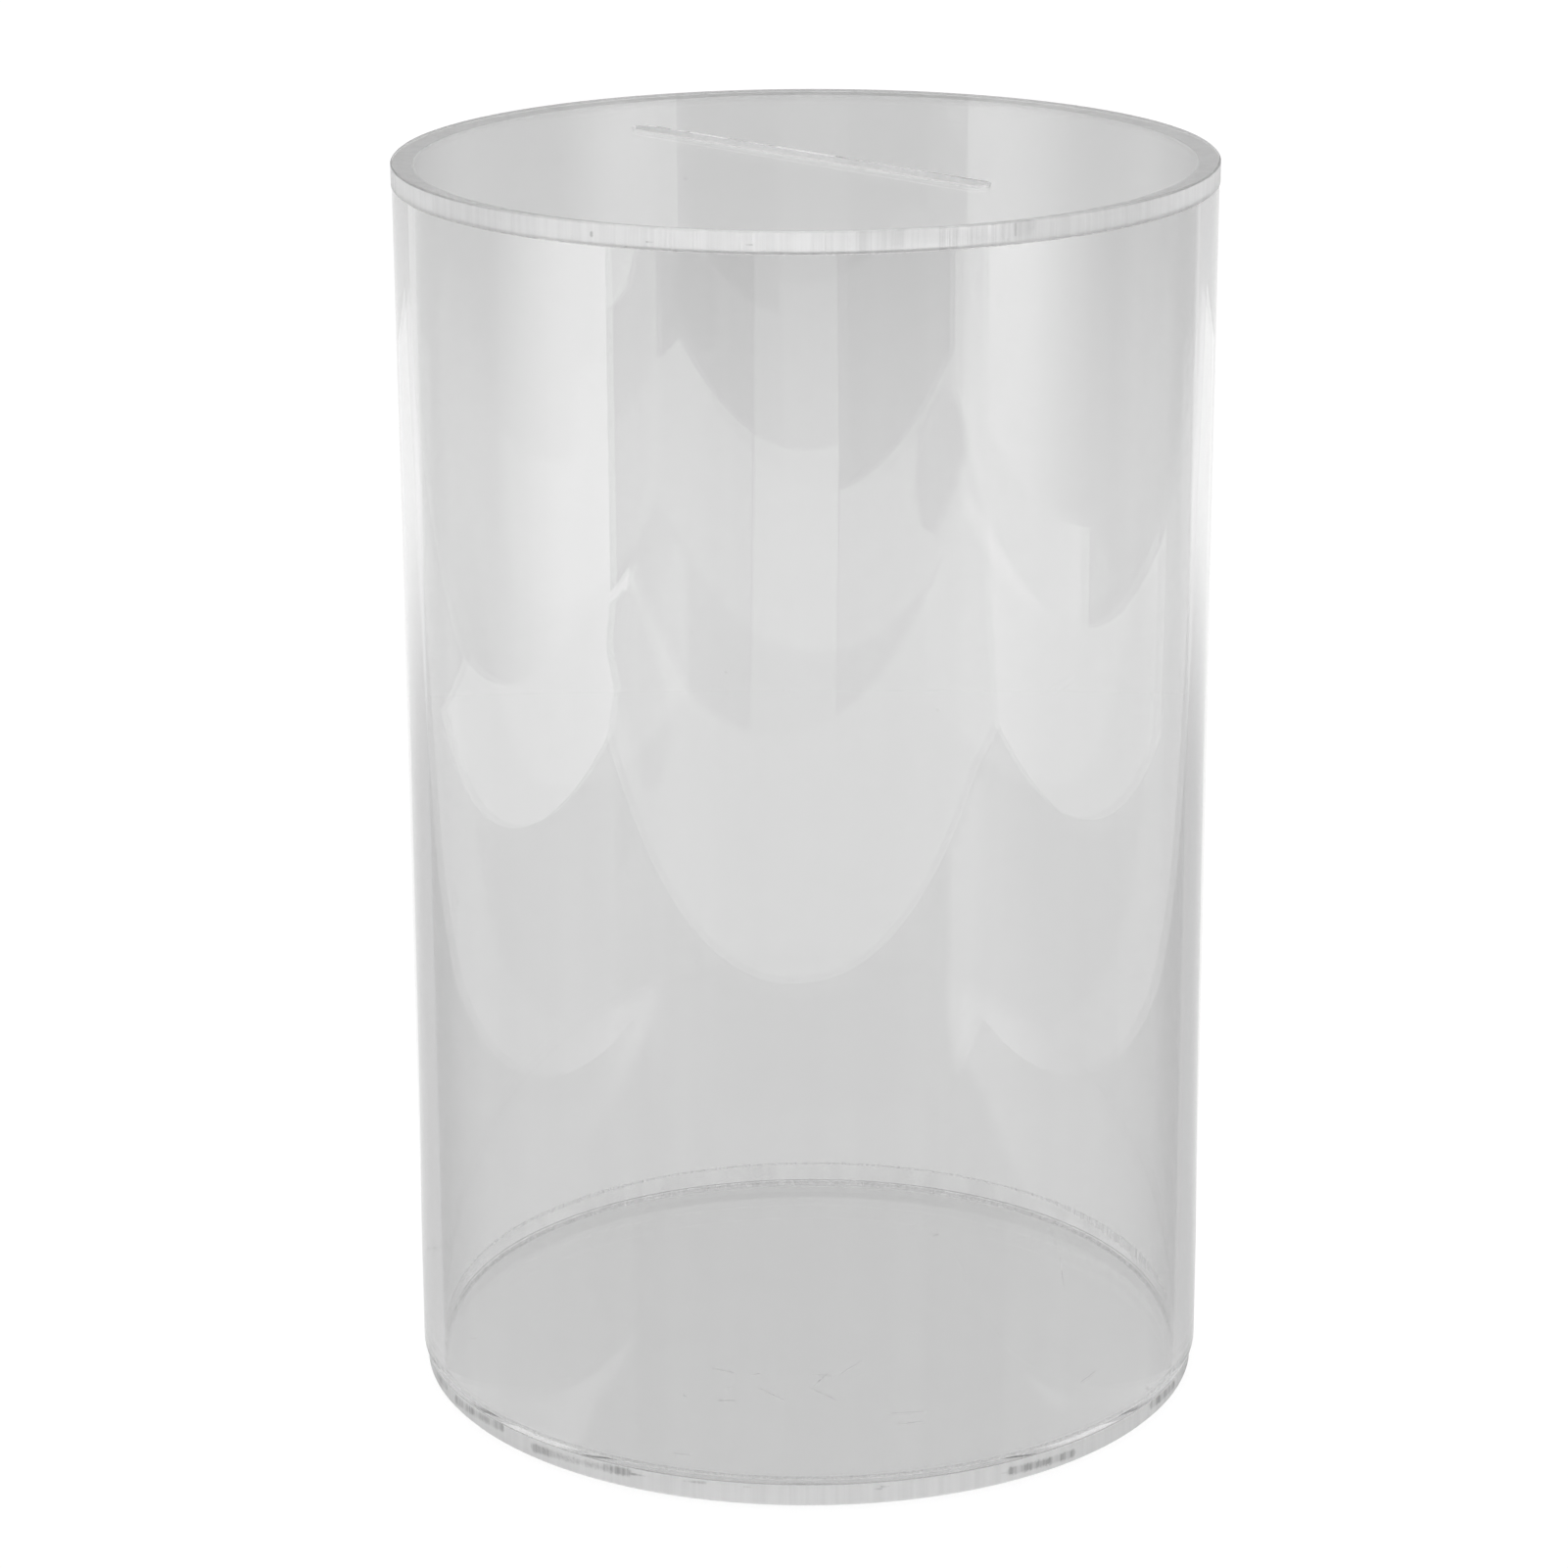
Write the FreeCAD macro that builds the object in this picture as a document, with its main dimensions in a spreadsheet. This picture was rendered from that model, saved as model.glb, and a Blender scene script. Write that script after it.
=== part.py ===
import FreeCAD, Part
import math
import os
import Sketcher

# Clear acrylic money box: a length of round tube closed by two discs of flat sheet.
# The lid disc has a routed coin slot. Solvent cement bonds both discs to the cut ends
# of the tube for good, so nothing on it moves and it is broken open to get at the coins.
# Millimetres. Z is the axis of the tube, X runs along the slot, and z = 0 is the table.

doc = FreeCAD.newDocument("MoneyBox")

# The sizes that can be set by themselves
drivingSizes = [
    # tube
    ("tube_outer_diameter", "100.0"),
    ("tube_wall", "2.5"),
    ("tube_length", "150.0"),
    # lid disc, cut a little larger than the tube, so that it stands proud all round
    ("lid_overhang", "0.1"),
    ("lid_thickness", "2.6"),
    ("lid_edge_break", "0.2"),
    # coin slot, routed with a round cutter as wide as the slot
    ("slot_length", "60.0"),
    ("slot_width", "3.0"),
    ("slot_edge_break", "0.1"),
    # base disc, cut a little smaller than the tube
    ("base_inset", "0.5"),
    ("base_thickness", "3.0"),
    ("base_edge_break", "0.4"),
    # cement: the film in each joint, and the bead that was pressed out inside the box
    ("lid_cement_film", "0.1"),
    ("lid_cement_bead", "0.3"),
    ("base_cement_film", "0.1"),
    ("base_cement_bead", "0.4"),
]

# Radii and levels that the pieces share, worked out from the sizes above
sharedSizes = [
    ("tube_outer_radius", "=tube_outer_diameter / 2"),
    ("tube_inner_radius", "=tube_outer_radius - tube_wall"),
    ("lid_radius", "=tube_outer_radius + lid_overhang"),
    ("base_radius", "=tube_outer_radius - base_inset"),
    ("tube_bottom", "=base_thickness + base_cement_film"),
    ("tube_top", "=tube_bottom + tube_length"),
    ("lid_bottom", "=tube_top + lid_cement_film"),
    ("lid_top", "=lid_bottom + lid_thickness"),
]

sizes = doc.addObject("Spreadsheet::Sheet", "Sizes")
for row, (name, content) in enumerate(drivingSizes + sharedSizes, start=1):
    sizes.set("A%d" % row, name)
    sizes.set("B%d" % row, content)
    sizes.setAlias("B%d" % row, name)
doc.recompute()

onLevel = 0.001


def size(expression):
    return float(sizes.evalExpression(expression))


def newBody(name):
    body = doc.addObject("PartDesign::Body", name)
    body.Label = name
    return body


def originFeature(body, role):
    return [feature for feature in body.Origin.OriginFeatures if feature.Role == role][0]


def newSketch(body, name, role):
    sketch = body.newObject("Sketcher::SketchObject", name)
    sketch.AttachmentSupport = [(originFeature(body, role), "")]
    sketch.MapMode = "FlatFace"
    return sketch


def bind(sketch, name, constraint, expression):
    index = sketch.addConstraint(constraint)
    sketch.renameConstraint(index, name)
    sketch.setExpression("Constraints." + name, expression)


def drawCircle(sketch, name, radius):
    # A circle about the axis
    drawn = Part.Circle(FreeCAD.Vector(0, 0, 0), FreeCAD.Vector(0, 0, 1), size(radius))
    circle = sketch.addGeometry(drawn, False)
    sketch.addConstraint(Sketcher.Constraint("Coincident", circle, 3, -1, 1))
    bind(sketch, name, Sketcher.Constraint("Radius", circle, size(radius)), radius)


def drawProfile(sketch, corners):
    # Half of a section through the axis. A corner is its name, its radius and its level.
    points = [FreeCAD.Vector(size(radius), size(level), 0) for _, radius, level in corners]
    following = points[1:] + points[:1]
    sides = [sketch.addGeometry(Part.LineSegment(a, b), False) for a, b in zip(points, following)]
    for side, nextSide in zip(sides, sides[1:] + sides[:1]):
        sketch.addConstraint(Sketcher.Constraint("Coincident", side, 2, nextSide, 1))
    for side, point, (name, radius, level) in zip(sides, points, corners):
        across = Sketcher.Constraint("DistanceX", -1, 1, side, 1, point.x)
        upward = Sketcher.Constraint("DistanceY", -1, 1, side, 1, point.y)
        bind(sketch, name + "_radius", across, radius)
        bind(sketch, name + "_level", upward, level)


def turnProfile(body, name, corners):
    sketch = newSketch(body, name + "_profile", "XZ_Plane")
    drawProfile(sketch, corners)
    turned = body.newObject("PartDesign::Revolution", name + "_turned")
    turned.Profile = sketch
    turned.ReferenceAxis = (originFeature(body, "Z_Axis"), [""])
    turned.Angle = 360.0


def drawSlot(sketch):
    # Two straight sides along X and two half circles, centred on the axis
    cutter = size("Sizes.slot_width / 2")
    travel = size("Sizes.slot_length - Sizes.slot_width")
    rightCentre = FreeCAD.Vector(travel / 2, 0, 0)
    leftCentre = FreeCAD.Vector(-travel / 2, 0, 0)
    aside = FreeCAD.Vector(0, cutter, 0)
    up = FreeCAD.Vector(0, 0, 1)
    quarter = math.pi / 2
    outline = [
        Part.LineSegment(rightCentre + aside, leftCentre + aside),
        Part.ArcOfCircle(Part.Circle(leftCentre, up, cutter), quarter, 3 * quarter),
        Part.LineSegment(leftCentre - aside, rightCentre - aside),
        Part.ArcOfCircle(Part.Circle(rightCentre, up, cutter), -quarter, quarter),
    ]
    far, leftEnd, near, rightEnd = [sketch.addGeometry(line, False) for line in outline]
    for line, nextLine in ((far, leftEnd), (leftEnd, near), (near, rightEnd), (rightEnd, far)):
        sketch.addConstraint(Sketcher.Constraint("Tangent", line, 2, nextLine, 1))
    sketch.addConstraint(Sketcher.Constraint("Horizontal", far))
    sketch.addConstraint(Sketcher.Constraint("Symmetric", leftEnd, 3, rightEnd, 3, -1, 1))
    bind(sketch, "cutter_radius",
         Sketcher.Constraint("Radius", rightEnd, cutter), "Sizes.slot_width / 2")
    bind(sketch, "cutter_travel",
         Sketcher.Constraint("DistanceX", leftEnd, 3, rightEnd, 3, travel),
         "Sizes.slot_length - Sizes.slot_width")


def mouthEdges(shape):
    # The edges round the mouth of the slot: those on the lid's top face, less its rim
    top = size("Sizes.lid_top")
    longest = size("Sizes.slot_length") + onLevel
    names = []
    for number, edge in enumerate(shape.Edges, start=1):
        box = edge.BoundBox
        if box.ZLength < onLevel and abs(box.ZMin - top) < onLevel and box.XLength < longest:
            names.append("Edge%d" % number)
    return names


def makeBasePlate():
    # The lower edge is broken, so that it doesn't scratch the table
    body = newBody("base_plate")
    turnProfile(body, "base", [
        ("centre_low", "0", "0"),
        ("foot", "Sizes.base_radius - Sizes.base_edge_break", "0"),
        ("rim_low", "Sizes.base_radius", "Sizes.base_edge_break"),
        ("rim_high", "Sizes.base_radius", "Sizes.base_thickness"),
        ("centre_high", "0", "Sizes.base_thickness"),
    ])
    return body


def makeBodyTube():
    # Cut square at both ends
    body = newBody("body_tube")
    section = newSketch(body, "tube_section", "XY_Plane")
    section.setExpression("AttachmentOffset.Base.z", "Sizes.tube_bottom")
    drawCircle(section, "outer", "Sizes.tube_outer_radius")
    drawCircle(section, "inner", "Sizes.tube_inner_radius")
    length = body.newObject("PartDesign::Pad", "tube_cut_length")
    length.Profile = section
    length.setExpression("Length", "Sizes.tube_length")
    return body


def makeLidPlate():
    body = newBody("lid_plate")
    turnProfile(body, "lid", [
        ("centre_low", "0", "Sizes.lid_bottom"),
        ("rim_low", "Sizes.lid_radius", "Sizes.lid_bottom"),
        ("rim_high", "Sizes.lid_radius", "Sizes.lid_top - Sizes.lid_edge_break"),
        ("top_edge", "Sizes.lid_radius - Sizes.lid_edge_break", "Sizes.lid_top"),
        ("centre_high", "0", "Sizes.lid_top"),
    ])
    doc.recompute()
    uncut = body.Shape.Volume

    outline = newSketch(body, "slot_outline", "XY_Plane")
    outline.setExpression("AttachmentOffset.Base.z", "Sizes.lid_bottom")
    drawSlot(outline)
    slot = body.newObject("PartDesign::Pocket", "slot")
    slot.Profile = outline
    slot.Reversed = True
    slot.setExpression("Length", "Sizes.lid_thickness")
    doc.recompute()
    if body.Shape.Volume > uncut - onLevel:
        raise RuntimeError("the slot cuts nothing out of the lid")

    mouth = body.newObject("PartDesign::Chamfer", "slot_mouth")
    mouth.Base = (slot, mouthEdges(slot.Shape))
    mouth.setExpression("Size", "Sizes.slot_edge_break")
    return body


def makeCement(name, plateLevel, tubeLevel, outerRadius, bead, wallReach):
    # The film fills the joint between a plate and the end of the tube. The bead fills the
    # corner inside: it lies on the plate and reaches along the wall as far as wallReach.
    body = newBody(name)
    turnProfile(body, name, [
        ("film_plate", outerRadius, plateLevel),
        ("film_tube", outerRadius, tubeLevel),
        ("wall_foot", "Sizes.tube_inner_radius", tubeLevel),
        ("wall_reach", "Sizes.tube_inner_radius", wallReach),
        ("plate_reach", "Sizes.tube_inner_radius - " + bead, plateLevel),
    ])
    return body


subParts = [
    makeBasePlate(),
    makeCement("base_cement", "Sizes.base_thickness", "Sizes.tube_bottom", "Sizes.base_radius",
               "Sizes.base_cement_bead", "Sizes.tube_bottom + Sizes.base_cement_bead"),
    makeBodyTube(),
    makeCement("lid_cement", "Sizes.lid_bottom", "Sizes.tube_top", "Sizes.tube_outer_radius",
               "Sizes.lid_cement_bead", "Sizes.tube_top - Sizes.lid_cement_bead"),
    makeLidPlate(),
]
doc.recompute()

for item in doc.Objects:
    if "Invalid" in item.State or "Error" in item.State:
        raise RuntimeError("%s did not rebuild: %s" % (item.Name, item.State))
for part in subParts:
    if part.Shape.isNull() or not part.Shape.isValid():
        raise RuntimeError("%s has no valid shape" % part.Label)

os.makedirs("parts", exist_ok=True)
for part in subParts:
    part.Shape.exportStep("parts/%s.step" % part.Label)
    box = part.Shape.BoundBox
    print("%-12s %d solid, %9.1f mm3, z %.2f to %.2f, x %.2f to %.2f" % (
        part.Label, len(part.Shape.Solids), part.Shape.Volume,
        box.ZMin, box.ZMax, box.XMin, box.XMax))
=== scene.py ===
import math

import bmesh
import bpy
from mathutils import Matrix, Vector


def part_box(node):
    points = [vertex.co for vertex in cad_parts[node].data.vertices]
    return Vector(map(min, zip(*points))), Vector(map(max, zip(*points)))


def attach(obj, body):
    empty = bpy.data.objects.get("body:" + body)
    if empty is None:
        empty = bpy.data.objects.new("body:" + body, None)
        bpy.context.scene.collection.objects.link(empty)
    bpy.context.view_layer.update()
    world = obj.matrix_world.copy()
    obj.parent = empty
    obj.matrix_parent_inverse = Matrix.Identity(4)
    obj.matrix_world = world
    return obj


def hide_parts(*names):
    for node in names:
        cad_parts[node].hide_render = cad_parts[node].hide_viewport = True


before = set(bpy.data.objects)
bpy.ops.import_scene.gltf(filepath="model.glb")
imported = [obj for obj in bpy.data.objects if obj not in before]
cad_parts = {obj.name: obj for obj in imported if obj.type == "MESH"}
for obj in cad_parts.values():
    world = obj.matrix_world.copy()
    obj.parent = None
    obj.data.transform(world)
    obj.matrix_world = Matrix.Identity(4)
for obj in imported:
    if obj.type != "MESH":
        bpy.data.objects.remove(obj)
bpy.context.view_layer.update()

print("frame loaded:", sorted(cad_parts))

millimetre = 0.001
scene = bpy.context.scene

# A clear acrylic money box: a tube, a lid disc with a coin slot and a base disc, bonded
# with solvent cement. The pieces are turned finer than the solids, because every facet
# of a clear piece shows twice, once in front and once through the wall.

# The camera of the photograph, round the axis of the box, with the slot along X
photoCamera = dict(
    azimuth=45.0,          # degrees, 0 looks along +Y
    distance=0.5759,       # metres from the axis
    height=0.2550,
    downTilt=17.263,       # degrees below level
    leftTurn=0.292,        # degrees past the axis
    roll=-0.264,
    lens=109.97,           # millimetres on a 36 millimetre sensor
)
studioTurn = Matrix.Rotation(math.radians(photoCamera["azimuth"]), 4, "Z")


def makeCamera():
    data = bpy.data.cameras.new("photoCamera")
    data.sensor_width = 36.0
    data.lens = photoCamera["lens"]
    data.clip_start = 0.01
    data.clip_end = 20.0
    camera = bpy.data.objects.new("photoCamera", data)
    turn = math.radians(photoCamera["azimuth"] + photoCamera["leftTurn"])
    tilt = math.radians(90 - photoCamera["downTilt"])
    place = studioTurn @ Vector((0, -photoCamera["distance"], photoCamera["height"]))
    camera.matrix_world = (
        Matrix.Translation(place)
        @ Matrix.Rotation(turn, 4, "Z")
        @ Matrix.Rotation(tilt, 4, "X")
        @ Matrix.Rotation(math.radians(photoCamera["roll"]), 4, "Z")
    )
    scene.collection.objects.link(camera)
    scene.camera = camera


makeCamera()
print("camera placed")


# Sizes that the frame gives
def radiusOf(node):
    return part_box(node)[1].x


def levelsOf(node):
    low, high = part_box(node)
    return low.z, high.z


tubeRadius = radiusOf("body_tube")
tubeBottom, tubeTop = levelsOf("body_tube")
lidRadius = radiusOf("lid_plate")
lidBottom, lidTop = levelsOf("lid_plate")
baseRadius = radiusOf("base_plate")
baseBottom, baseTop = levelsOf("base_plate")

tubeWall = 2.5 * millimetre
boreRadius = tubeRadius - tubeWall
ringSteps = 720
flatNormal = 0.9        # a face whose normal has more of z than this lies flat


# Mesh helpers
def newPiece(name, bm, materials, sharpAngle=30):
    mesh = bpy.data.meshes.new(name)
    bm.to_mesh(mesh)
    bm.free()
    for material in materials:
        mesh.materials.append(material)
    mesh.shade_smooth()
    mesh.set_sharp_from_angle(angle=math.radians(sharpAngle))
    piece = bpy.data.objects.new(name, mesh)
    scene.collection.objects.link(piece)
    return piece


def turn(bm, profile, closed):
    # Spins a line of (radius, level) points once round the axis
    points = [bm.verts.new((radius, 0, level)) for radius, level in profile]
    pairs = list(zip(points, points[1:]))
    if closed:
        pairs.append((points[-1], points[0]))
    lines = [bm.edges.new(pair) for pair in pairs]
    bmesh.ops.spin(bm, geom=points + lines, cent=(0, 0, 0), axis=(0, 0, 1),
                   angle=math.tau, steps=ringSteps, use_merge=True)


def openRings(bm):
    # The boundary loops of a turned band, lowest first
    edges = [edge for edge in bm.edges if edge.is_boundary]
    low = min(edge.verts[0].co.z for edge in edges)
    high = max(edge.verts[0].co.z for edge in edges)
    middle = (low + high) / 2
    lower = [edge for edge in edges if edge.verts[0].co.z < middle]
    upper = [edge for edge in edges if edge.verts[0].co.z > middle]
    return lower, upper


def faceRadius(face):
    centre = face.calc_center_median()
    return math.hypot(centre.x, centre.y)


# Places that are read off the photograph, 1601 pixels square
photoSide = 1601
wallShift = 3.0       # pixels by which the front wall lowers what is seen through it


def sightLine(pixel):
    across, down = pixel
    focal = photoCamera["lens"] / 36.0 * photoSide
    view = Vector((across - photoSide / 2, photoSide / 2 - down, -focal))
    placed = scene.camera.matrix_world
    return placed.translation, (placed.to_3x3() @ view).normalized()


def onLevel(pixel, level, lowered=0):
    # Where the line of sight meets a level
    start, view = sightLine((pixel[0], pixel[1] - lowered))
    return start + view * ((level - start.z) / view.z)


def onRim(pixel, radius):
    # Where the line of sight first meets an upright cylinder
    start, view = sightLine(pixel)
    flatView = view.xy
    middle = -start.xy.dot(flatView) / flatView.length_squared
    offset = (start.xy + flatView * middle).length
    return start + view * (middle - math.sqrt(radius ** 2 - offset ** 2) / flatView.length)


# Materials
def newMaterial(name):
    material = bpy.data.materials.new(name)
    material.use_nodes = True
    nodes = material.node_tree.nodes
    return material, nodes, material.node_tree.links, nodes["Principled BSDF"]


def grey(value):
    return (value, value, value, 1)


def newGroup(name, inputs, outputs):
    group = bpy.data.node_groups.new(name, "ShaderNodeTree")
    for label, kind in inputs:
        group.interface.new_socket(label, in_out="INPUT", socket_type=kind)
    for label in outputs:
        group.interface.new_socket(label, in_out="OUTPUT", socket_type="NodeSocketFloat")
    enter = group.nodes.new("NodeGroupInput")
    leave = group.nodes.new("NodeGroupOutput")
    return group, group.nodes, group.links, enter, leave


def mathNode(nodes, links, operation, *values):
    node = nodes.new("ShaderNodeMath")
    node.operation = operation
    for socket, value in zip(node.inputs, values):
        if isinstance(value, (int, float)):
            socket.default_value = value
        else:
            links.new(value, socket)
    return node.outputs["Value"]


def rangeNode(nodes, source, start, end):
    node = nodes.new("ShaderNodeMapRange")
    node.interpolation_type = "SMOOTHSTEP"
    for socket, value in zip(("From Min", "From Max", "To Min", "To Max"), source + (start, end)):
        node.inputs[socket].default_value = value
    return node


def makeStreaks():
    # Fine lines along the axis: the tube is drawn that way and the discs are cut that way
    group, nodes, links, enter, leave = newGroup(
        "streaks", [("Fineness", "NodeSocketFloat")], ["Streaks"])
    where = nodes.new("ShaderNodeTexCoord")
    flatten = nodes.new("ShaderNodeMapping")
    flatten.inputs["Scale"].default_value = (1, 1, 0.015)
    lines = nodes.new("ShaderNodeTexNoise")
    lines.inputs["Detail"].default_value = 4
    lines.inputs["Roughness"].default_value = 0.65
    clear = rangeNode(nodes, (0.36, 0.66), 0.0, 1.0)
    links.new(where.outputs["Object"], flatten.inputs["Vector"])
    links.new(flatten.outputs["Vector"], lines.inputs["Vector"])
    links.new(enter.outputs["Fineness"], lines.inputs["Scale"])
    links.new(lines.outputs["Fac"], clear.inputs["Value"])
    links.new(clear.outputs["Result"], leave.inputs["Streaks"])
    return group


def makeWear():
    # Hairline scratches, specks of dust and the haze that hands leave
    group, nodes, links, enter, leave = newGroup("wear", [], ["Scratches", "Specks", "Haze"])
    where = nodes.new("ShaderNodeTexCoord")
    bend = nodes.new("ShaderNodeTexNoise")
    bend.inputs["Scale"].default_value = 30
    bent = nodes.new("ShaderNodeVectorMath")
    bent.operation = "MULTIPLY_ADD"
    bent.inputs[1].default_value = (0.02, 0.02, 0.02)
    lines = nodes.new("ShaderNodeTexVoronoi")
    lines.feature = "DISTANCE_TO_EDGE"
    lines.inputs["Scale"].default_value = 45
    thin = rangeNode(nodes, (0.001, 0.006), 1.0, 0.0)
    breaks = nodes.new("ShaderNodeTexNoise")
    breaks.inputs["Scale"].default_value = 70
    broken = rangeNode(nodes, (0.56, 0.66), 0.0, 1.0)
    links.new(where.outputs["Object"], bend.inputs["Vector"])
    links.new(bend.outputs["Color"], bent.inputs[0])
    links.new(where.outputs["Object"], bent.inputs[2])
    links.new(bent.outputs["Vector"], lines.inputs["Vector"])
    links.new(lines.outputs["Distance"], thin.inputs["Value"])
    links.new(where.outputs["Object"], breaks.inputs["Vector"])
    links.new(breaks.outputs["Fac"], broken.inputs["Value"])
    links.new(mathNode(nodes, links, "MULTIPLY", thin.outputs["Result"], broken.outputs["Result"]),
              leave.inputs["Scratches"])

    grains = nodes.new("ShaderNodeTexVoronoi")
    grains.inputs["Scale"].default_value = 330
    near = rangeNode(nodes, (0.03, 0.07), 1.0, 0.0)
    some = mathNode(nodes, links, "GREATER_THAN", grains.outputs["Color"], 0.8)
    links.new(where.outputs["Object"], grains.inputs["Vector"])
    links.new(grains.outputs["Distance"], near.inputs["Value"])
    links.new(mathNode(nodes, links, "MULTIPLY", near.outputs["Result"], some), leave.inputs["Specks"])

    smears = nodes.new("ShaderNodeTexNoise")
    smears.inputs["Scale"].default_value = 28
    smears.inputs["Detail"].default_value = 5
    soft = rangeNode(nodes, (0.42, 0.72), 0.0, 1.0)
    links.new(where.outputs["Object"], smears.inputs["Vector"])
    links.new(smears.outputs["Fac"], soft.inputs["Value"])
    links.new(soft.outputs["Result"], leave.inputs["Haze"])
    return group


def makeStroke():
    # A short mark from one point to another, with ragged sides
    group, nodes, links, enter, leave = newGroup(
        "stroke",
        [("From", "NodeSocketVector"), ("To", "NodeSocketVector"), ("Width", "NodeSocketFloat"),
         ("Strength", "NodeSocketFloat")],
        ["Mark"])

    def vectorNode(operation, *values):
        node = nodes.new("ShaderNodeVectorMath")
        node.operation = operation
        for socket, value in zip(node.inputs, values):
            links.new(value, socket)
        return node

    where = nodes.new("ShaderNodeTexCoord")
    along = vectorNode("SUBTRACT", enter.outputs["To"], enter.outputs["From"]).outputs["Vector"]
    reach = vectorNode("SUBTRACT", where.outputs["Object"], enter.outputs["From"]).outputs["Vector"]
    travelled = vectorNode("DOT_PRODUCT", reach, along).outputs["Value"]
    whole = vectorNode("DOT_PRODUCT", along, along).outputs["Value"]
    part = nodes.new("ShaderNodeClamp")
    links.new(mathNode(nodes, links, "DIVIDE", travelled, whole), part.inputs["Value"])
    nearest = vectorNode("SCALE", along)
    links.new(part.outputs["Result"], nearest.inputs["Scale"])
    gap = vectorNode("DISTANCE", reach, nearest.outputs["Vector"]).outputs["Value"]
    ragged = nodes.new("ShaderNodeTexNoise")
    ragged.inputs["Scale"].default_value = 2500
    links.new(where.outputs["Object"], ragged.inputs["Vector"])
    share = mathNode(nodes, links, "DIVIDE", gap, enter.outputs["Width"])
    rough = mathNode(nodes, links, "MULTIPLY_ADD", ragged.outputs["Fac"], 0.6, share)
    edge = rangeNode(nodes, (0.7, 1.3), 1.0, 0.0)
    links.new(rough, edge.inputs["Value"])
    links.new(mathNode(nodes, links, "MULTIPLY", edge.outputs["Result"], enter.outputs["Strength"]),
              leave.inputs["Mark"])
    return group


streaks = makeStreaks()
wear = makeWear()
stroke = makeStroke()

acrylic = dict(
    index=1.49,
    tubeTint=0.752,
    # partly painted shade: the darker tint where the view grazes the tube's wall
    tubeLimbTintAndShade=0.45,
    limbFacing=(0.55, 0.85),   # where the tint turns from the one to the other
    lidTint=0.92,
    lidRimTint=0.76,
    slotTint=0.88,
    baseTint=0.955,
    baseRimTint=0.80,
)


def useGroup(nodes, group, **settings):
    node = nodes.new("ShaderNodeGroup")
    node.node_tree = group
    for label, value in settings.items():
        node.inputs[label].default_value = value
    return node


def marksOf(nodes, links, strokes):
    # The strongest of the marks at each place
    total = None
    for mark in strokes:
        node = useGroup(nodes, stroke, From=mark["start"], To=mark["end"],
                        Width=mark["width"] * millimetre, Strength=mark["strength"])
        found = node.outputs["Mark"]
        total = found if total is None else mathNode(nodes, links, "MAXIMUM", total, found)
    return total


def acrylicFinish(name, tint, roughness, limbTintAndShade=None, fineness=220, streakShade=0.015,
                  streakBump=0.0015, haze=0.0, scratchDepth=1.0, dark=(), darkTint=0.35):
    material, nodes, links, surface = newMaterial(name)
    lines = useGroup(nodes, streaks, Fineness=fineness).outputs["Streaks"]
    worn = useGroup(nodes, wear).outputs

    shade = mathNode(nodes, links, "MULTIPLY_ADD", lines, -streakShade, 1.0)
    shade = mathNode(nodes, links, "MULTIPLY_ADD", worn["Specks"], -0.15, shade)
    if limbTintAndShade is not None:
        # Light that grazes a wall has more of it to cross; the darker tint there is partly that and
        # partly painted shade
        view = nodes.new("ShaderNodeLayerWeight")
        depth = nodes.new("ShaderNodeMapRange")
        limits = acrylic["limbFacing"] + (tint, limbTintAndShade)
        for socket, value in zip(("From Min", "From Max", "To Min", "To Max"), limits):
            depth.inputs[socket].default_value = value
        links.new(view.outputs["Facing"], depth.inputs["Value"])
        tone = mathNode(nodes, links, "MULTIPLY", depth.outputs["Result"], shade)
    else:
        tone = mathNode(nodes, links, "MULTIPLY", shade, tint)
    if dark:
        stain = mathNode(nodes, links, "MULTIPLY", marksOf(nodes, links, dark),
                         mathNode(nodes, links, "MULTIPLY_ADD", lines, 0.6, 0.4))
        tone = mathNode(nodes, links, "MULTIPLY", tone,
                        mathNode(nodes, links, "MULTIPLY_ADD", stain, darkTint - 1, 1.0))
    links.new(tone, surface.inputs["Base Color"])

    rough = mathNode(nodes, links, "MULTIPLY_ADD", worn["Haze"], haze, roughness)
    rough = mathNode(nodes, links, "MULTIPLY_ADD", worn["Scratches"], 0.08 * scratchDepth, rough)
    rough = mathNode(nodes, links, "MULTIPLY_ADD", worn["Specks"], 0.2, rough)
    links.new(rough, surface.inputs["Roughness"])

    relief = nodes.new("ShaderNodeBump")
    relief.inputs["Strength"].default_value = streakBump
    relief.inputs["Distance"].default_value = 0.0001
    links.new(mathNode(nodes, links, "MULTIPLY_ADD", worn["Scratches"], -scratchDepth, lines),
              relief.inputs["Height"])
    links.new(relief.outputs["Normal"], surface.inputs["Normal"])

    surface.inputs["IOR"].default_value = acrylic["index"]
    surface.inputs["Transmission Weight"].default_value = 1.0
    return material


def bondedFinish(name):
    # A face wetted by cement, which light crosses as if it weren't there
    material, _, _, surface = newMaterial(name)
    surface.inputs["Base Color"].default_value = grey(0.9)
    surface.inputs["Roughness"].default_value = 0.4
    surface.inputs["Alpha"].default_value = 0.0
    return material


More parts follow.
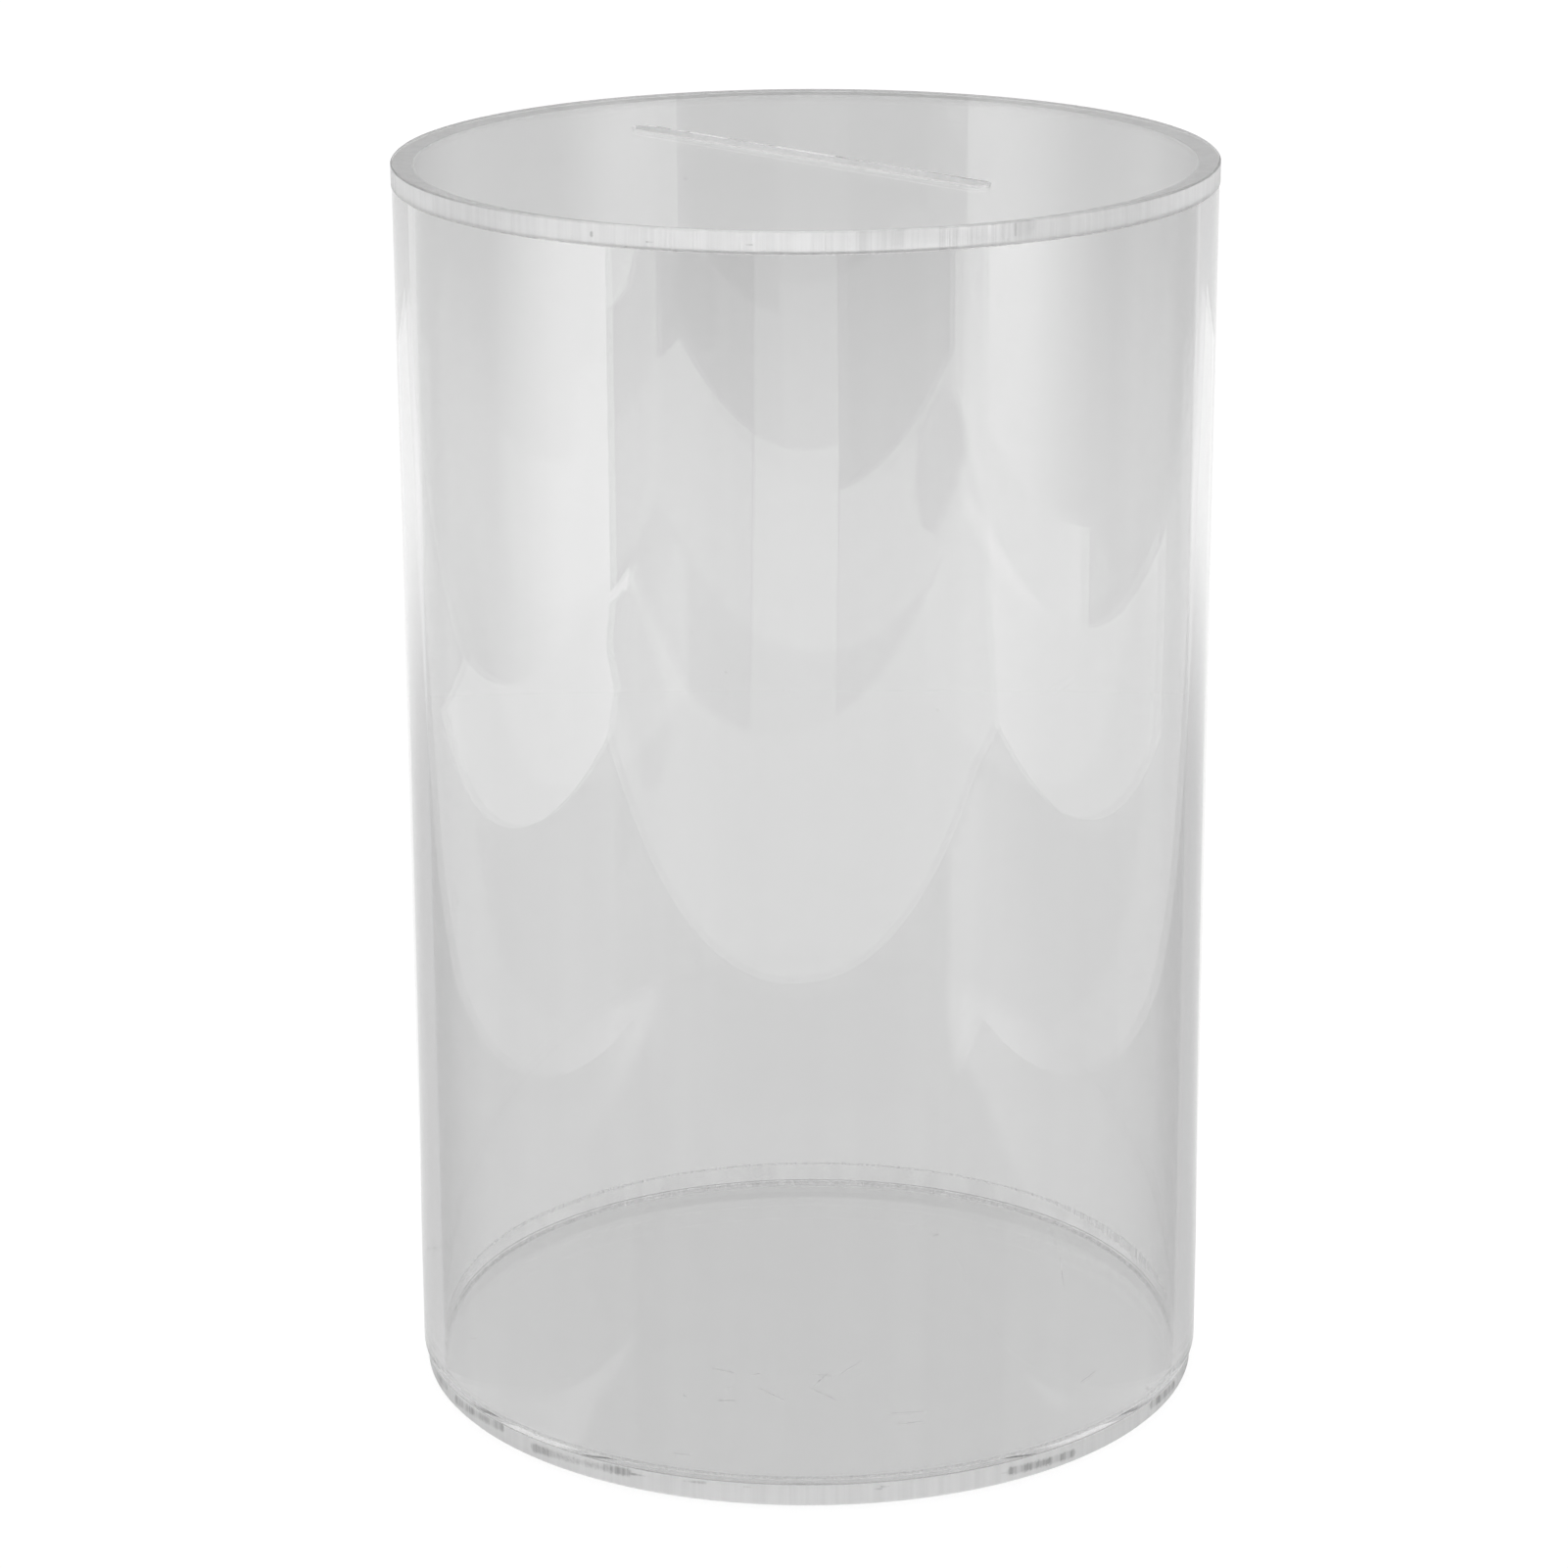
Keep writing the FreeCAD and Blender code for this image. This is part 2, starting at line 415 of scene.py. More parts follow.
def milkyFinish(name, tone, cover, fineness, contrast=(0.3, 0.7)):
    # Dried cement: patches of clear and of milky film, drawn out in streaks
    material, nodes, links, surface = newMaterial(name)
    lines = useGroup(nodes, streaks, Fineness=fineness).outputs["Streaks"]
    where = nodes.new("ShaderNodeTexCoord")
    patches = nodes.new("ShaderNodeTexNoise")
    patches.inputs["Scale"].default_value = 260
    patches.inputs["Detail"].default_value = 3
    links.new(where.outputs["Object"], patches.inputs["Vector"])
    clear = rangeNode(nodes, contrast, *cover)
    links.new(mathNode(nodes, links, "MULTIPLY_ADD", lines, 0.35,
                       mathNode(nodes, links, "MULTIPLY", patches.outputs["Fac"], 0.65)),
              clear.inputs["Value"])
    links.new(clear.outputs["Result"], surface.inputs["Alpha"])
    links.new(mathNode(nodes, links, "MULTIPLY_ADD", lines, -0.06, tone), surface.inputs["Base Color"])
    surface.inputs["Roughness"].default_value = 0.45
    surface.inputs["IOR"].default_value = acrylic["index"]
    relief = nodes.new("ShaderNodeBump")
    relief.inputs["Strength"].default_value = 0.3
    relief.inputs["Distance"].default_value = 0.0001
    links.new(patches.outputs["Fac"], relief.inputs["Height"])
    links.new(relief.outputs["Normal"], surface.inputs["Normal"])
    return material


# Marks, by the pixels of their ends in the photograph and their width in millimetres
baseScuffs = dict(
    crossLong=dict(pixels=((727, 1397), (752, 1402)), width=0.22),
    crossShort=dict(pixels=((767, 1404), (778, 1402)), width=0.18),
    crossLeg=dict(pixels=((775, 1417), (802, 1430)), width=0.18),
    rubbed=dict(pixels=((732, 1430), (752, 1430)), width=0.35),
    frontDash=dict(pixels=((687, 1484), (709, 1485)), width=0.25),
    leftDash=dict(pixels=((480, 1367), (488, 1367)), width=0.25),
    smallTick=dict(pixels=((742, 1417), (748, 1417)), width=0.2),
    lowTick=dict(pixels=((699, 1424), (702, 1427)), width=0.2),
    starLeft=dict(pixels=((829, 1403), (849, 1405)), width=0.18),
    starRise=dict(pixels=((830, 1416), (845, 1402)), width=0.18),
    starFall=dict(pixels=((827, 1417), (855, 1430)), width=0.15),
    starRight=dict(pixels=((855, 1405), (880, 1389)), width=0.12),
    faintUpper=dict(pixels=((905, 1443), (947, 1441)), width=0.12),
    faintLower=dict(pixels=((915, 1454), (942, 1451)), width=0.15),
    backDot=dict(pixels=((952, 1262), (960, 1261)), width=0.35),
    hairUpper=dict(pixels=((1074, 1252), (1078, 1258)), width=0.09),
    hairMiddle=dict(pixels=((1078, 1258), (1086, 1280)), width=0.09),
    hairLower=dict(pixels=((1086, 1280), (1089, 1320)), width=0.08),
    rightTick=dict(pixels=((1099, 1412), (1117, 1399)), width=0.15),
    rightBead=dict(pixels=((1161, 1415), (1162, 1420)), width=0.30),
)
baseRimStains = dict(
    farLeft=dict(pixels=((447, 1404), (456, 1416)), width=0.6, strength=0.7),
    left=dict(pixels=((466, 1429), (512, 1457)), width=0.8, strength=1.0),
    frontLeft=dict(pixels=((545, 1478), (640, 1503)), width=0.8, strength=1.0),
    frontTail=dict(pixels=((640, 1504), (720, 1514)), width=0.25, strength=0.8),
    frontLine=dict(pixels=((760, 1518), (900, 1520)), width=0.18, strength=0.5),
    rightLine=dict(pixels=((900, 1518), (1030, 1503)), width=0.2, strength=0.6),
    right=dict(pixels=((1032, 1502), (1095, 1484)), width=0.75, strength=1.0),
    farRight=dict(pixels=((1176, 1434), (1198, 1414)), width=0.8, strength=1.0),
)
lidRimMarks = dict(
    dot=dict(pixels=((604, 238), (604, 240)), width=0.3, strength=1.0),
    tick=dict(pixels=((1037, 229), (1037, 240)), width=0.22, strength=0.9),
    leftLine=dict(pixels=((505, 241), (640, 252)), width=0.1, strength=0.8),
    frontLine=dict(pixels=((660, 247), (768, 250)), width=0.12, strength=0.7),
    lowerEdge=dict(pixels=((768, 259), (900, 257)), width=0.15, strength=0.4),
    # a broad band of painted shade on the rim, darker where less light comes through
    paintedShadeBand=dict(pixels=((880, 245), (1045, 230)), width=2.0, strength=0.3),
)
tubeMarks = dict(
    leftGrain=dict(pixels=((436, 1275), (438, 1275)), width=0.3, strength=1.0),
    leftTail=dict(pixels=((438, 1275), (446, 1274)), width=0.15, strength=0.5),
)
lidMarks = dict(
    leftGrain=dict(pixels=((571, 163), (574, 163)), width=0.35, strength=0.9),
    middleGrain=dict(pixels=((807, 113), (809, 113)), width=0.35, strength=0.7),
    rightGrain=dict(pixels=((898, 123), (900, 123)), width=0.35, strength=0.6),
    nearGrain=dict(pixels=((699, 181), (700, 184)), width=0.3, strength=0.5),
)


def placeMarks(marks, place, reach):
    return [dict(mark, start=place(mark["pixels"][0], reach), end=place(mark["pixels"][1], reach))
            for mark in marks.values()]


tubeFinish = acrylicFinish(
    "tubeFinish", acrylic["tubeTint"], 0.0, limbTintAndShade=acrylic["tubeLimbTintAndShade"],
    dark=placeMarks(tubeMarks, onRim, tubeRadius))
lidFinish = acrylicFinish(
    "lidFinish", acrylic["lidTint"], 0.0, fineness=60, streakShade=0.01, scratchDepth=0.0,
    dark=placeMarks(lidMarks, onLevel, lidTop))
lidRimFinish = acrylicFinish(
    "lidRimFinish", acrylic["lidRimTint"], 0.29, fineness=900, streakShade=0.12, streakBump=0.35,
    haze=0.06, scratchDepth=0.0, dark=placeMarks(lidRimMarks, onRim, lidRadius))
slotFinish = acrylicFinish(
    "slotFinish", acrylic["slotTint"], 0.35, fineness=700, streakShade=0.1, haze=0.1)
baseFinish = acrylicFinish(
    "baseFinish", acrylic["baseTint"], 0.0, fineness=60, streakShade=0.01, scratchDepth=0.0)
baseRimFinish = acrylicFinish(
    "baseRimFinish", acrylic["baseRimTint"], 0.29, fineness=700, streakShade=0.12, streakBump=0.2,
    haze=0.06, scratchDepth=0.0, dark=placeMarks(baseRimStains, onRim, baseRadius), darkTint=0.2)
lidFilmFinish = milkyFinish("lidFilmFinish", 0.6, (0.75, 0.95), 500)
baseFilmFinish = milkyFinish("baseFilmFinish", 0.85, (0.0, 0.15), 700)
beadFinish = milkyFinish("beadFinish", 0.85, (0.2, 0.5), 900)
creptFinish = milkyFinish("creptFinish", 0.85, (0.2, 0.7), 900, contrast=(0.3, 0.55))
skinFinish = milkyFinish("skinFinish", 0.85, (0.01, 0.06), 300)
scuffFinish = milkyFinish("scuffFinish", 0.9, (0.3, 0.8), 500)
# Painted highlight: a whitish film on the slot's near edge
highlightFinish = milkyFinish("highlightFinish", 0.95, (0.2, 0.7), 800)
bondedFace = bondedFinish("bondedFace")


# Tube
def makeTube():
    bm = bmesh.new()
    turn(bm, [
        (boreRadius, tubeBottom),
        (baseRadius, tubeBottom),
        (tubeRadius, tubeBottom),
        (tubeRadius, tubeTop),
        (boreRadius, tubeTop),
    ], closed=True)
    bmesh.ops.recalc_face_normals(bm, faces=bm.faces)
    for face in bm.faces:
        isTop = face.normal.z > flatNormal
        isBonded = isTop or (face.normal.z < -flatNormal and faceRadius(face) < baseRadius)
        face.material_index = 1 if isBonded else 0
    piece = newPiece("clearTube", bm, [tubeFinish, bondedFace])
    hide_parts("body_tube")
    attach(piece, "root")


# Lid disc
lid = dict(
    slotLength=60 * millimetre,
    slotWidth=3 * millimetre,
    mouthBreak=0.1 * millimetre,
    # depth of the painted highlight, a whitish band at the top of the slot's near wall
    highlightDepth=0.45 * millimetre,
    rimBreak=0.2 * millimetre,
    slotRing=40 * millimetre,   # the turned part of the disc starts here
    arcSteps=32,
)


def slotOutline(bm, level, widening):
    # Two half circles and the straight sides between them
    radius = lid["slotWidth"] / 2 + widening
    reach = (lid["slotLength"] - lid["slotWidth"]) / 2
    ends = []
    for side in (1, -1):
        start = bm.verts.new((side * reach, -side * radius, level))
        made = bmesh.ops.spin(bm, geom=[start], cent=(side * reach, 0, level), axis=(0, 0, 1),
                              angle=math.pi, steps=lid["arcSteps"])
        last = [item for item in made["geom_last"] if isinstance(item, bmesh.types.BMVert)][0]
        ends.append((start, last))
    bm.edges.new((ends[0][1], ends[1][0]))
    bm.edges.new((ends[1][1], ends[0][0]))


def slotEdges(bm, level):
    near = 0.00001
    inside = lid["slotRing"] - near

    def isHere(vert):
        return abs(vert.co.z - level) < near and math.hypot(vert.co.x, vert.co.y) < inside

    return [edge for edge in bm.edges if all(isHere(vert) for vert in edge.verts)]


def makeLid():
    bm = bmesh.new()
    turn(bm, [
        (lid["slotRing"], lidBottom),
        (boreRadius, lidBottom),
        (tubeRadius, lidBottom),
        (lidRadius, lidBottom),
        (lidRadius, lidTop - lid["rimBreak"]),
        (lidRadius - lid["rimBreak"], lidTop),
        (lid["slotRing"], lidTop),
    ], closed=False)
    lower, upper = openRings(bm)
    mouthLow = lidTop - lid["mouthBreak"]
    highlightLow = mouthLow - lid["highlightDepth"]
    slotOutline(bm, lidBottom, 0)
    slotOutline(bm, highlightLow, 0)
    slotOutline(bm, mouthLow, 0)
    slotOutline(bm, lidTop, lid["mouthBreak"])
    loops = [slotEdges(bm, level) for level in (lidBottom, highlightLow, mouthLow, lidTop)]
    for below, above in zip(loops, loops[1:]):
        bmesh.ops.bridge_loops(bm, edges=below + above)
    bmesh.ops.triangle_fill(bm, edges=lower + loops[0], use_beauty=True)
    bmesh.ops.triangle_fill(bm, edges=upper + loops[-1], use_beauty=True)
    bmesh.ops.recalc_face_normals(bm, faces=bm.faces)
    for face in bm.faces:
        radius = faceRadius(face)
        centre = face.calc_center_median()
        upright = abs(face.normal.z) < flatNormal
        if upright and radius < lid["slotRing"]:
            # Painted highlight: the top band of the near wall gets a whitish film for the bright line
            # along the near edge
            isHighlight = centre.z > highlightLow and centre.y < 0
            isFarMouth = centre.z > mouthLow and centre.y > 0
            face.material_index = 4 if isHighlight else 0 if isFarMouth else 3
        elif upright:
            face.material_index = 1
        elif face.normal.z < 0 and boreRadius < radius < tubeRadius:
            face.material_index = 2
        else:
            face.material_index = 0
    piece = newPiece("lidDisc", bm, [lidFinish, lidRimFinish, bondedFace, slotFinish, highlightFinish])
    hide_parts("lid_plate")
    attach(piece, "root")


# Base disc
base = dict(
    edgeBreak=0.4 * millimetre,
)


def makeBase():
    bm = bmesh.new()
    turn(bm, [
        (boreRadius, baseTop),
        (baseRadius, baseTop),
        (baseRadius, baseBottom + base["edgeBreak"]),
        (baseRadius - base["edgeBreak"], baseBottom),
        (boreRadius, baseBottom),
    ], closed=False)
    lower, upper = openRings(bm)
    bmesh.ops.edgeloop_fill(bm, edges=lower)
    bmesh.ops.edgeloop_fill(bm, edges=upper)
    bmesh.ops.recalc_face_normals(bm, faces=bm.faces)
    for face in bm.faces:
        isRim = abs(face.normal.z) < flatNormal
        isBonded = face.normal.z > flatNormal and faceRadius(face) > boreRadius
        face.material_index = 1 if isRim else 2 if isBonded else 0
    piece = newPiece("baseDisc", bm, [baseFinish, baseRimFinish, bondedFace])
    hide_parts("base_plate")
    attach(piece, "root")


# Cement
cement = dict(
    lidBead=0.3 * millimetre,
    baseBead=0.4 * millimetre,
    clear=0.01 * millimetre,       # to each face that it lies on
)


def makeCement(name, node, plateLevel, tubeLevel, outerRadius, bead, film):
    upward = 1 if tubeLevel > plateLevel else -1
    foot = plateLevel + upward * cement["clear"]
    milkyLevel = tubeLevel - upward * cement["clear"]
    wall = boreRadius - cement["clear"]
    bm = bmesh.new()
    turn(bm, [
        (outerRadius, foot),
        (outerRadius, milkyLevel),
        (wall, milkyLevel),
        (wall, tubeLevel + upward * bead),
        (boreRadius - bead, foot),
    ], closed=True)
    bmesh.ops.recalc_face_normals(bm, faces=bm.faces)
    for face in bm.faces:
        isFlat = abs(face.normal.z) > flatNormal
        isFoot = isFlat and face.normal.z * upward < 0
        face.material_index = 1 if isFoot else 2 if isFlat else 0
    piece = newPiece(name, bm, [beadFinish, bondedFace, film])
    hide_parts(node)
    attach(piece, "root")


# Cement that crept up the wall behind in a thin skin, which ends in a thicker line as
# high as level. Angles go round from the side away from the camera, to its right.
crept = dict(
    level=6.25 * millimetre,
    lean=0.15 * millimetre,        # how much higher it is at the right
    clear=0.03 * millimetre,
    skin=0.03 * millimetre,
    thick=0.10 * millimetre,
    thin=0.25 * millimetre,        # how wide the line is by itself
    start=-101,
    end=97,
    steps=396,
    fade=12,
    leastWidth=0.15,
    leftRun=dict(middle=-45, spread=14, width=0.45 * millimetre),
    rightRun=dict(middle=67, spread=17, width=1.5 * millimetre),
)


def creptWidth(angle):
    width = crept["thin"]
    for run in (crept["leftRun"], crept["rightRun"]):
        away = (angle - run["middle"]) / run["spread"]
        ragged = 0.7 + 0.3 * math.sin(angle * 5.3) * math.sin(angle * 2.1 + 1.0)
        width += run["width"] * math.exp(-away * away) * ragged
    toEnd = min(angle - crept["start"], crept["end"] - angle)
    return width * max(crept["leastWidth"], min(1, toEnd / crept["fade"]))


def makeCreptCement():
    outer = boreRadius - crept["clear"]
    skin = outer - crept["skin"]
    inner = outer - crept["thick"]
    low = baseTop + crept["clear"]
    bm = bmesh.new()
    rings = []
    for step in range(crept["steps"] + 1):
        angle = crept["start"] + (crept["end"] - crept["start"]) * step / crept["steps"]
        place = math.radians(angle)
        top = crept["level"] + crept["lean"] * math.sin(place)
        foot = top - creptWidth(angle)
        corners = [(outer, low), (skin, low), (skin, foot), (inner, foot + crept["thick"] / 2),
                   (inner, top - crept["thick"] / 2), (outer, top)]
        rings.append([bm.verts.new(studioTurn @ Vector((r * math.sin(place), r * math.cos(place), z)))
                      for r, z in corners])
    for near, far in zip(rings, rings[1:]):
        for k in range(len(near)):
            following = (k + 1) % len(near)
            side = bm.faces.new((near[k], near[following], far[following], far[k]))
            side.material_index = 1 if k in (2, 3, 4) else 0
    bm.faces.new(rings[0])
    bm.faces.new(rings[-1])
    bmesh.ops.recalc_face_normals(bm, faces=bm.faces)
    piece = newPiece("creptCement", bm, [skinFinish, creptFinish])
    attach(piece, "root")


# Scuffs on the base disc: slivers of raised burr
scuff = dict(
    clear=0.01 * millimetre,
    height=0.03 * millimetre,
    taper=0.2,              # share of its length in which each end runs to a point
)


def makeScuffs():
    bm = bmesh.new()
    low = baseTop + scuff["clear"]
    for mark in baseScuffs.values():
        start, end = (onLevel(pixel, low, wallShift) for pixel in mark["pixels"])
        along = end - start
        aside = Vector((-along.y, along.x, 0)).normalized() * mark["width"] * millimetre / 2
        shoulder = along * scuff["taper"]
        outline = [start, start + shoulder + aside, end - shoulder + aside, end, end - shoulder - aside,
                   start + shoulder - aside]
        sliver = bm.faces.new([bm.verts.new(corner) for corner in outline])
        raised = bmesh.ops.extrude_face_region(bm, geom=[sliver])["geom"]
        lifted = [item for item in raised if isinstance(item, bmesh.types.BMVert)]
        bmesh.ops.translate(bm, verts=lifted, vec=(0, 0, scuff["height"]))
    bmesh.ops.recalc_face_normals(bm, faces=bm.faces)
    piece = newPiece("baseScuffs", bm, [scuffFinish])
    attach(piece, "root")


makeTube()
makeLid()
makeBase()
makeCement("lidCement", "lid_cement", lidBottom, tubeTop, tubeRadius, cement["lidBead"],
           lidFilmFinish)
makeCement("baseCement", "base_cement", baseTop, tubeBottom, baseRadius, cement["baseBead"],
           baseFilmFinish)
makeCreptCement()
makeScuffs()
print("pieces made")


# The studio: a white floor, and paper and cloth round it that only the box sees.
# Millimetres from the axis, as the photograph's camera sees them: x to its right,
# y away from it and z up.
tableCards = dict(
    frontCloth=dict(strength=1.95, level=1.0, outline=[
        (-290, -213), (0, -236), (240, -243), (287, -228), (395, -350), (382, -402), (300, -402),
        (50, -380), (-95, -360), (-200, -340), (-290, -338), (-358, -330)]),
    leftCloth=dict(strength=1.55, lit=1.45, lampEnds=(150, -300), level=1.2, outline=[
        (-290, 170), (-285, 60), (-290, -213), (-358, -330), (-388, -205), (-368, 110)]),
    rightCloth=dict(strength=1.45, lit=1.15, lampEnds=(120, -300), level=1.2, outline=[
        (300, 120), (287, -100), (287, -228), (395, -350), (412, -100), (430, 100), (432, 210)]),
    leftMat=dict(strength=1.45, level=0.8, outline=[
        (-500, -440), (-358, -330), (-290, -338), (-200, -340), (-95, -360), (-150, -600), (-400, -602)]),
    rightMat=dict(strength=1.45, level=0.8, outline=[
        (50, -380), (300, -402), (382, -402), (395, -350), (500, -480), (470, -545), (85, -555)]),
    lane=dict(strength=1.8, level=0.9, outline=[
        (-95, -360), (50, -380), (90, -600), (-145, -600)]),
    farLane=dict(strength=1.3, level=0.9, outline=[
        (-145, -600), (90, -600), (200, -1500), (-350, -1500)]),
    darkTable=dict(strength=0.68, level=0.5, outline=[
        (-1100, -345), (1100, -380), (1100, -1500), (-1100, -1500)]),
    leftFoot=dict(strength=1.65, level=1.6, outline=[
        (-340, -245), (-290, -240), (-225, -240), (-208, -258), (-212, -290), (-240, -318),
        (-330, -322), (-352, -305), (-362, -270)]),
    leftShade=dict(strength=0.82, lit=0.38, lampEnds=(190, 420), level=0.6, outline=[
        (-66, 60), (-180, 60), (-200, 120), (-330, 380), (-410, 600), (-230, 600), (-160, 300),
        (-90, 120)]),
    leftNearShade=dict(strength=0.82, lit=0.30, lampEnds=(10, -60), level=0.6, outline=[
        (-66, 60), (-52, 30), (-47, 20), (-50, 7), (-50.4, -8), (-58, -60), (-80, -150),
        (-150, -150), (-170, -20), (-180, 60)]),
    rightShade=dict(strength=0.77, lit=0.46, lampEnds=(190, 420), level=0.6, outline=[
        (66, 60), (180, 60), (200, 120), (330, 380), (410, 600), (230, 600), (160, 300),
        (90, 120)]),
    rightNearShade=dict(strength=0.77, lit=0.35, lampEnds=(10, -60), level=0.6, outline=[
        (66, 60), (52, 30), (47, 20), (50, 7), (50.4, -8), (58, -60), (80, -150),
        (150, -150), (170, -20), (180, 60)]),
    rightFoot=dict(strength=0.9, level=1.6, outline=[
        (290, -425), (400, -428), (430, -460), (410, -520), (370, -538), (300, -535), (270, -490),
        (264, -450)]),
)

# Cloth and paper that stand round the box. The side cloths end above the highest level
# that its walls mirror. The lamps behind them are near their front ends, so a cloth glows
# more towards lampEnds[1], by lit at the table and by litHigh above lampRise[1].
standingCards = dict(
    leftWall=dict(foot=[(-370, -279), (-388, -205), (-368, 110), (-430, 500)], rise=(0, 170),
                  strength=1.2, lit=1.8, litHigh=3.6, lampEnds=(60, -200), lampRise=(0, 150)),
    rightWall=dict(foot=[(395, -350), (412, -100), (430, 100), (470, 500)], rise=(0, 170),
                   strength=1.0, lit=1.2, litHigh=5.0, lampEnds=(20, -260), lampRise=(10, 170)),
    leftFlap=dict(foot=[(-370, -279), (-358, -330), (-430, -522)], rise=(0, 60), strength=1.35),
    leftFlapHigh=dict(foot=[(-370, -279), (-358, -330), (-430, -522)], rise=(60, 170), strength=2.3),
    rightFlap=dict(foot=[(395, -350), (430, -523)], rise=(0, 60), strength=1.9),
    rightFlapHigh=dict(foot=[(395, -350), (430, -523)], rise=(60, 170), strength=4.7),
    rightHem=dict(foot=[(394, -348), (411, -100), (428, 40)], rise=(0, 22), strength=2.0),
    leftStrip=dict(foot=[(-100, 1240), (-49, 1240)], rise=(0, 900), isBackground=True,
                   strength=0.6, lit=0.075, lampEnds=(-98, -72), lampAxis="X"),
    rightStrip=dict(foot=[(62, 1240), (114, 1240)], rise=(0, 900), isBackground=True,
                    strength=0.6, lit=0.075, lampEnds=(112, 88), lampAxis="X"),
    backPaper=dict(foot=[(-1200, 1250), (1200, 1250)], rise=(0, 450), isBackground=True, strength=0.6),
    backPaperHigh=dict(foot=[(-1200, 1250), (1200, 1250)], rise=(450, 1200), isBackground=True,
                       strength=0.7),
)


def placeInStudio(x, y, z):
    return studioTurn @ Vector((x, y, z)) * millimetre


def emissive(name, strength, isBackground):
    material = bpy.data.materials.new(name)
    material.use_nodes = True
    nodes = material.node_tree.nodes
    links = material.node_tree.links
    nodes.clear()
    output = nodes.new("ShaderNodeOutputMaterial")
    glow = nodes.new("ShaderNodeEmission")
    glow.inputs["Strength"].default_value = strength
    if isBackground:
        links.new(glow.outputs[0], output.inputs["Surface"])
        return material
    # Shows where a wall mirrors it, and not straight through the box
    path = nodes.new("ShaderNodeLightPath")
    mirrored = mathNode(nodes, links, "GREATER_THAN", path.outputs["Glossy Depth"], 0.5)
    clear = nodes.new("ShaderNodeBsdfTransparent")
    chosen = nodes.new("ShaderNodeMixShader")
    links.new(mirrored, chosen.inputs["Fac"])
    links.new(clear.outputs[0], chosen.inputs[1])
    links.new(glow.outputs[0], chosen.inputs[2])
    links.new(chosen.outputs[0], output.inputs["Surface"])
    return material


def addLamp(material, card):
    nodes = material.node_tree.nodes
    links = material.node_tree.links
    where = nodes.new("ShaderNodeTexCoord")
    toStudio = nodes.new("ShaderNodeMapping")
    toStudio.vector_type = "TEXTURE"
    toStudio.inputs["Rotation"].default_value = (0, 0, math.radians(photoCamera["azimuth"]))
    toStudio.inputs["Scale"].default_value = (millimetre,) * 3
    axes = nodes.new("ShaderNodeSeparateXYZ")
    along = rangeNode(nodes, card["lampEnds"], 0.0, 1.0)
    litHigh = card.get("litHigh", card["lit"])
    upward = rangeNode(nodes, card.get("lampRise", (0, 1)), card["lit"], litHigh)
    total = nodes.new("ShaderNodeMath")
    total.operation = "MULTIPLY_ADD"
    total.inputs[2].default_value = card["strength"]
    links.new(where.outputs["Object"], toStudio.inputs["Vector"])
    links.new(toStudio.outputs["Vector"], axes.inputs["Vector"])
    links.new(axes.outputs[card.get("lampAxis", "Y")], along.inputs["Value"])
    links.new(axes.outputs["Z"], upward.inputs["Value"])
    links.new(along.outputs["Result"], total.inputs[0])
    links.new(upward.outputs["Result"], total.inputs[1])
    links.new(total.outputs["Value"], nodes["Emission"].inputs["Strength"])


def stageCard(name, bm, card):
    mesh = bpy.data.meshes.new(name)
    bm.to_mesh(mesh)
    bm.free()
    material = emissive(name, card["strength"], card.get("isBackground", False))
    if "lampEnds" in card:
        addLamp(material, card)
    material.cycles.emission_sampling = "NONE"
    mesh.materials.append(material)
    staged = bpy.data.objects.new(name, mesh)
    staged.visible_camera = False
    staged.visible_diffuse = False
    scene.collection.objects.link(staged)


def makeSurround():
    for name, card in tableCards.items():
        bm = bmesh.new()
        corners = [placeInStudio(x, y, card["level"]) for x, y in card["outline"]]
        bm.faces.new([bm.verts.new(corner) for corner in corners])
        stageCard(name, bm, card)
    for name, card in standingCards.items():
        bm = bmesh.new()
        low, high = card["rise"]
        for near, far in zip(card["foot"], card["foot"][1:]):
            corners = [placeInStudio(*near, low), placeInStudio(*far, low),
                       placeInStudio(*far, high), placeInStudio(*near, high)]
            bm.faces.new([bm.verts.new(corner) for corner in corners])
        bmesh.ops.remove_doubles(bm, verts=bm.verts, dist=millimetre)
        stageCard(name, bm, card)


makeSurround()


# The camera sees the floor matt. The box mirrors it as the glossy sheet that it stands on,
# with a painted pool of light: its glow is painted brighter near the box and darker further away.
floor = dict(
    halfWidth=3.0,
    drop=0.0003,
    glow=0.89,
    farGlow=0.59,
    near=0.35,
    far=0.95,
    gloss=0.5,
    paintedShadowGlow=0.745,     # painted shadow: a lower glow under the box, where it also has no gloss
    coveredEnd=0.051,
    albedo=0.10,
    seenAlbedo=0.15,
    seenWhite=1.04,
    roughness=0.03,
)


